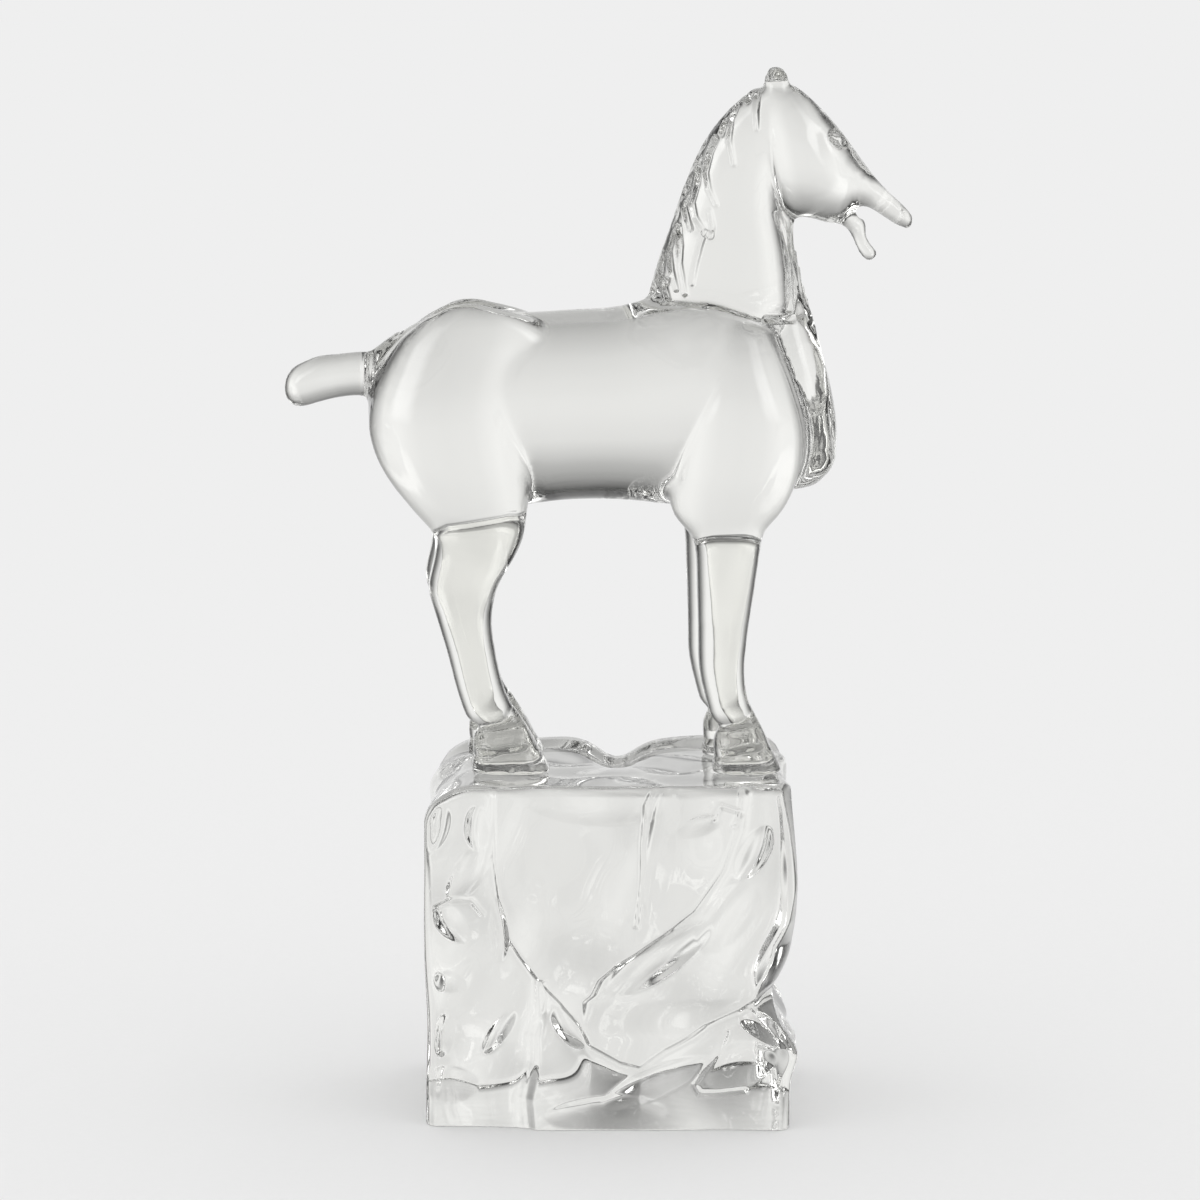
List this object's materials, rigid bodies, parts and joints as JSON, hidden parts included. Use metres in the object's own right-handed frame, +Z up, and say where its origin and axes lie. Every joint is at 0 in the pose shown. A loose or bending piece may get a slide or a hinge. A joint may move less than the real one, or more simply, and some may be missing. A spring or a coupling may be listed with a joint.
{
  "type": "horse sculpture",
  "caption": "Water-clear cast horse with an open mouth, hanging mane and stub tail, standing on a rough rock-shaped plinth as a tabletop sculpture.",
  "frame": {"origin": "middle of the whole sculpture's footprint box, on the plinth's flat underside", "axes": "+X along the horse towards its head, +Y to its left side, away from the viewer of the picture, +Z up"},
  "size_m": [0.2252, 0.106, 0.3734],
  "materials": {
    "horse_clear": "polished",
    "rock_clear": "polished"
  },
  "bodies": {
    "root": {"horse": "horse_clear", "rock_plinth": "rock_clear"}
  },
  "joints": []
}
